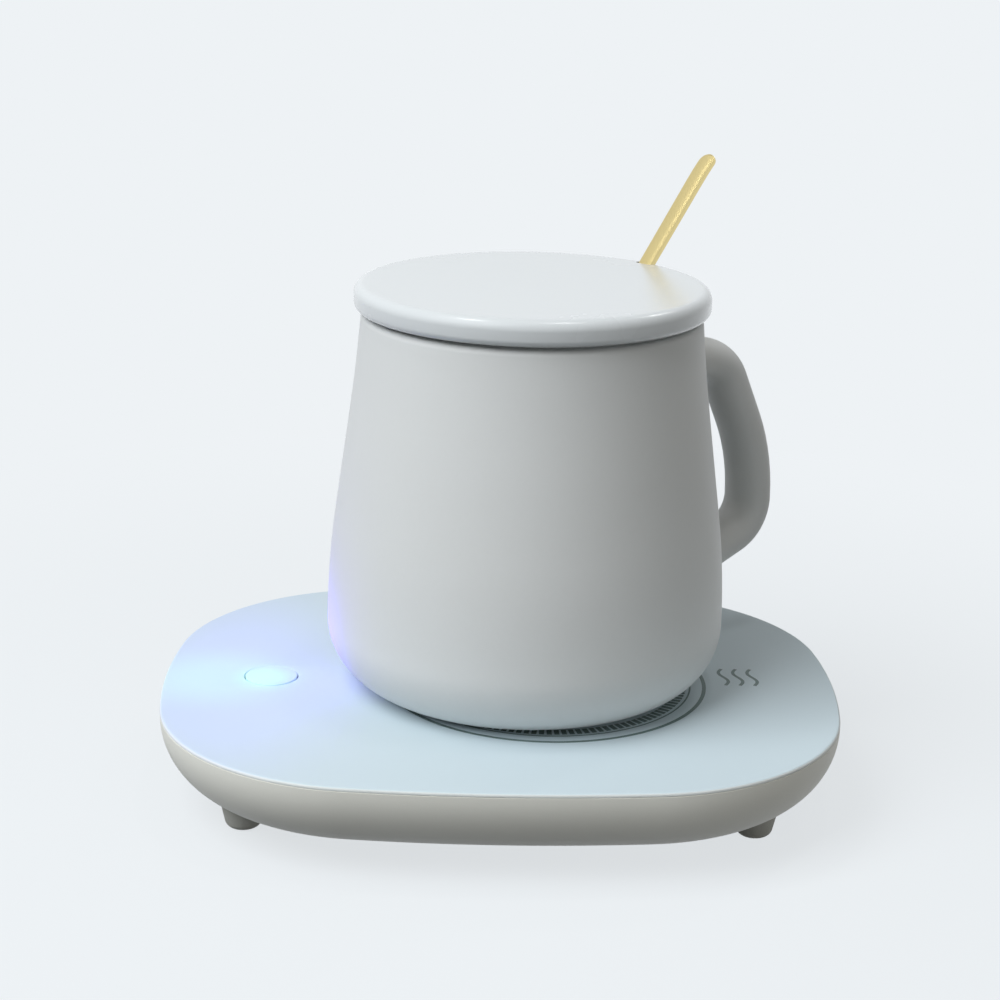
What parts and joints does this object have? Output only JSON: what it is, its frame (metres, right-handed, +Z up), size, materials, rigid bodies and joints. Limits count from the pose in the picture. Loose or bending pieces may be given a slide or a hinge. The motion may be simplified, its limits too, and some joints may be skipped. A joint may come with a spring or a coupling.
{
  "type": "self-heating mug",
  "caption": "Mug warmer set: flat heated base with a lit push button, and a lidded ceramic mug with an ear handle and a leaning spoon.",
  "frame": {"origin": "on the table, under the middle of the base", "axes": "+X from the button towards the mug, +Y away from the user, +Z up"},
  "size_m": [0.156, 0.13, 0.1403],
  "materials": {
    "shell_plastic": "satin",
    "cover_plastic": "semi-gloss",
    "seal_rubber": "matte",
    "foot_rubber": "matte",
    "screw_steel": "plain",
    "spreader_aluminium": "plain",
    "heater_film": "satin",
    "insulation_felt": "matte",
    "clamp_steel": "zinc plated",
    "sensor_epoxy": "gloss",
    "fuse_body": "matte",
    "lead_red": "satin",
    "lead_blue": "satin",
    "lead_black": "satin",
    "board_laminate": "satin",
    "chip_plastic": "matte",
    "connector_plastic": "satin",
    "switch_plastic": "matte",
    "socket_steel": "plated",
    "mug_glaze": "satin glaze",
    "lid_glaze": "gloss glaze",
    "spoon_gold": "polished",
    "lamp_lens": "gloss",
    "button_plastic": "frosted"
  },
  "bodies": {
    "base": {"base_shell": "shell_plastic", "top_cover": "cover_plastic", "cover_seal": "seal_rubber", "foot_front_left": "foot_rubber", "foot_front_right": "foot_rubber", "foot_rear_left": "foot_rubber", "foot_rear_right": "foot_rubber", "housing_screws": "screw_steel", "heat_spreader": "spreader_aluminium", "film_heater": "heater_film", "insulation_pad": "insulation_felt", "heater_clamp": "clamp_steel", "clamp_screws": "screw_steel", "thermistor": "sensor_epoxy", "thermal_fuse": "fuse_body", "heater_leads": "lead_red", "thermistor_leads": "lead_blue", "control_board": "board_laminate", "board_chips": "chip_plastic", "wire_connectors": "connector_plastic", "status_leds": "lamp_lens", "switch_body": "switch_plastic", "board_screws": "screw_steel", "socket_board": "board_laminate", "socket_shell": "socket_steel", "socket_tongue": "chip_plastic", "socket_leads": "lead_black"},
    "button": {"button_cap": "button_plastic"},
    "plunger": {"switch_plunger": "connector_plastic"},
    "mug": {"mug": "mug_glaze"},
    "lid": {"lid": "lid_glaze"},
    "spoon": {"spoon": "spoon_gold"}
  },
  "joints": [
    {"name": "button_press", "type": "slide", "parent": "base", "child": "button", "axis": [0, 0, -1], "range_m": [0, 0.0005], "stiffness_N_per_m": 1000, "springref_m": -0.0015},
    {"name": "plunger_press", "type": "slide", "parent": "base", "child": "plunger", "axis": [0, 0, -1], "range_m": [0, 0.0005]},
    {"name": "mug_lift", "type": "slide", "parent": "base", "child": "mug", "axis": [0, 0, 1], "range_m": [0, 0.15]},
    {"name": "lid_lift", "type": "slide", "parent": "mug", "child": "lid", "axis": [0, 0, 1], "range_m": [0, 0.08]},
    {"name": "spoon_lift", "type": "slide", "parent": "mug", "child": "spoon", "axis": [0.4813, 0.4648, 0.7431], "range_m": [0, 0.04]}
  ],
  "couplings": [
    {"joint": "plunger_press", "follows": "button_press", "ratio": 1}
  ]
}
